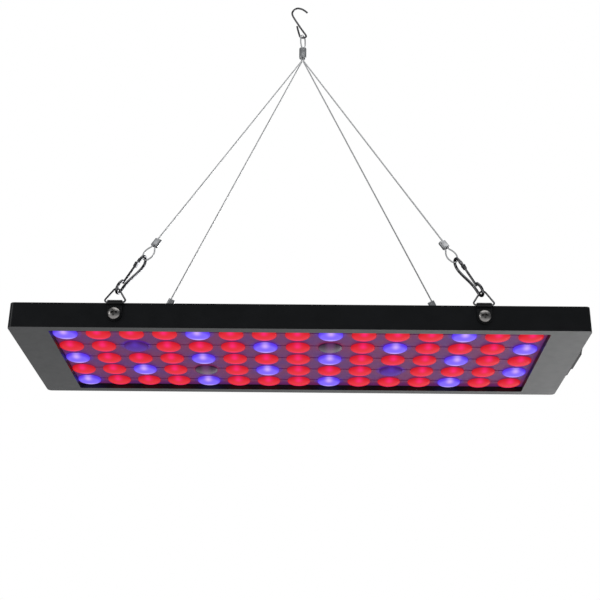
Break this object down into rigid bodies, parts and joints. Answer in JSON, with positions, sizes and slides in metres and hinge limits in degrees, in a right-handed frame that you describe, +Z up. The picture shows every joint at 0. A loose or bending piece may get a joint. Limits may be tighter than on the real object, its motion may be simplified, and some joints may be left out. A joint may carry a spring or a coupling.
{
  "type": "led grow light",
  "caption": "Slim rectangular LED grow light panel hung level below one ceiling hook by a four-leg wire sling with snap hooks.",
  "frame": {"origin": "the point inside the top bend of the ceiling hook that bears on the rail or eye it hangs from", "axes": "+X along the panel towards its mains inlet, +Y across the panel to the rear, +Z up"},
  "size_m": [0.3129, 0.1094, 0.2502],
  "materials": {
    "housing": "satin black powder coat",
    "zinc_screw": "zinc plated",
    "led_board": "white solder mask",
    "lens": "clear moulded lens over a lit LED",
    "led_package": "LED packages on copper track",
    "circuit_board": "green circuit board",
    "insulation": "polyester sheet",
    "winding": "tape and enamelled wire",
    "capacitor": "sleeved aluminium can",
    "chip": "moulded package",
    "cable": "twin insulated lead",
    "inlet_plastic": "moulded socket",
    "brass": "plated pin",
    "chrome": "bright nickel plate",
    "steel_wire": "galvanised wire",
    "sleeve_metal": "pressed aluminium"
  },
  "bodies": {
    "hook": {"ceiling_hook": "chrome"},
    "light": {"front_frame": "housing", "back_cover": "housing", "hanger_tab_front_left": "housing", "hanger_tab_front_right": "housing", "hanger_tab_rear_left": "housing", "hanger_tab_rear_right": "housing", "cover_screw_1": "zinc_screw", "cover_screw_2": "zinc_screw", "cover_screw_3": "zinc_screw", "cover_screw_4": "zinc_screw", "inlet_screw_1": "zinc_screw", "inlet_screw_2": "zinc_screw", "led_board": "led_board", "lens_row_1": "lens", "lens_row_2": "lens", "lens_row_3": "lens", "lens_row_4": "lens", "lens_row_5": "lens", "led_array": "led_package", "driver_board": "circuit_board", "insulating_sheet": "insulation", "driver_transformer": "winding", "filter_choke": "winding", "input_capacitor": "capacitor", "output_capacitor": "capacitor", "driver_chip": "chip", "mains_lead": "cable", "led_lead": "cable", "inlet_body": "inlet_plastic", "inlet_pin_1": "brass", "inlet_pin_2": "brass", "tab_screw_front_left": "chrome", "tab_screw_front_right": "chrome", "tab_screw_rear_left": "chrome", "tab_screw_rear_right": "chrome", "top_eye": "steel_wire", "sling_wire_front_left": "steel_wire", "sling_wire_front_right": "steel_wire", "sling_wire_rear_left": "steel_wire", "sling_wire_rear_right": "steel_wire", "top_sleeve": "sleeve_metal", "wire_sleeve_front_left": "sleeve_metal", "wire_sleeve_front_right": "sleeve_metal", "wire_sleeve_rear_left": "sleeve_metal", "wire_sleeve_rear_right": "sleeve_metal"},
    "ring_front_left": {"hanger_ring_front_left": "steel_wire"},
    "clip_front_left": {"snap_hook_front_left": "chrome"},
    "gate_front_left": {"snap_gate_front_left": "chrome"},
    "ring_front_right": {"hanger_ring_front_right": "steel_wire"},
    "clip_front_right": {"snap_hook_front_right": "chrome"},
    "gate_front_right": {"snap_gate_front_right": "chrome"},
    "ring_rear_left": {"hanger_ring_rear_left": "steel_wire"},
    "clip_rear_left": {"snap_hook_rear_left": "chrome"},
    "gate_rear_left": {"snap_gate_rear_left": "chrome"},
    "ring_rear_right": {"hanger_ring_rear_right": "steel_wire"},
    "clip_rear_right": {"snap_hook_rear_right": "chrome"},
    "gate_rear_right": {"snap_gate_rear_right": "chrome"}
  },
  "joints": [
    {"name": "light_swing", "type": "hinge", "parent": "hook", "child": "light", "pos_m": [0.0039, 0, -0.02305], "axis": [1, 0, 0], "range_deg": [-40, 40]},
    {"name": "ring_tilt_front_left", "type": "hinge", "parent": "light", "child": "ring_front_left", "pos_m": [-0.0938, -0.0528, -0.23505], "axis": [1, 0, 0], "range_deg": [-3, 3]},
    {"name": "clip_twist_front_left", "type": "hinge", "parent": "light", "child": "clip_front_left", "pos_m": [-0.09299, -0.05042, -0.22626], "axis": [0.4497, 0.2331, 0.8622], "range_deg": [-5, 5]},
    {"name": "gate_open_front_left", "type": "hinge", "parent": "clip_front_left", "child": "gate_front_left", "pos_m": [-0.08463, -0.04778, -0.20976], "axis": [0.8932, -0.1174, -0.4341], "range_deg": [0, 6.5], "stiffness_Nm_per_rad": 0.01, "springref_deg": -8.59},
    {"name": "ring_tilt_front_right", "type": "hinge", "parent": "light", "child": "ring_front_right", "pos_m": [0.1028, -0.0528, -0.23505], "axis": [1, 0, 0], "range_deg": [-3, 3]},
    {"name": "clip_twist_front_right", "type": "hinge", "parent": "light", "child": "clip_front_right", "pos_m": [0.10198, -0.05042, -0.22626], "axis": [-0.4541, 0.2325, 0.8601], "range_deg": [-5, 5]},
    {"name": "gate_open_front_right", "type": "hinge", "parent": "clip_front_right", "child": "gate_front_right", "pos_m": [0.09353, -0.04779, -0.20981], "axis": [0.8909, 0.1185, 0.4384], "range_deg": [0, 6.5], "stiffness_Nm_per_rad": 0.01, "springref_deg": -8.59},
    {"name": "ring_tilt_rear_left", "type": "hinge", "parent": "light", "child": "ring_rear_left", "pos_m": [-0.096, 0.0528, -0.23505], "axis": [1, 0, 0], "range_deg": [-3, 3]},
    {"name": "clip_twist_rear_left", "type": "hinge", "parent": "light", "child": "clip_rear_left", "pos_m": [-0.09518, 0.05042, -0.22626], "axis": [0.4578, -0.232, 0.8582], "range_deg": [-5, 5]},
    {"name": "gate_open_rear_left", "type": "hinge", "parent": "clip_rear_left", "child": "gate_rear_left", "pos_m": [-0.08666, 0.0478, -0.20985], "axis": [-0.8891, -0.1195, 0.4419], "range_deg": [0, 6.5], "stiffness_Nm_per_rad": 0.01, "springref_deg": -8.59},
    {"name": "ring_tilt_rear_right", "type": "hinge", "parent": "light", "child": "ring_rear_right", "pos_m": [0.105, 0.0528, -0.23505], "axis": [1, 0, 0], "range_deg": [-3, 3]},
    {"name": "clip_twist_rear_right", "type": "hinge", "parent": "light", "child": "clip_rear_right", "pos_m": [0.10417, 0.05043, -0.22627], "axis": [-0.4622, -0.2314, 0.8561], "range_deg": [-5, 5]},
    {"name": "gate_open_rear_right", "type": "hinge", "parent": "clip_rear_right", "child": "gate_rear_right", "pos_m": [0.09557, 0.04781, -0.20989], "axis": [-0.8868, 0.1206, -0.4461], "range_deg": [0, 6.5], "stiffness_Nm_per_rad": 0.01, "springref_deg": -8.59}
  ]
}
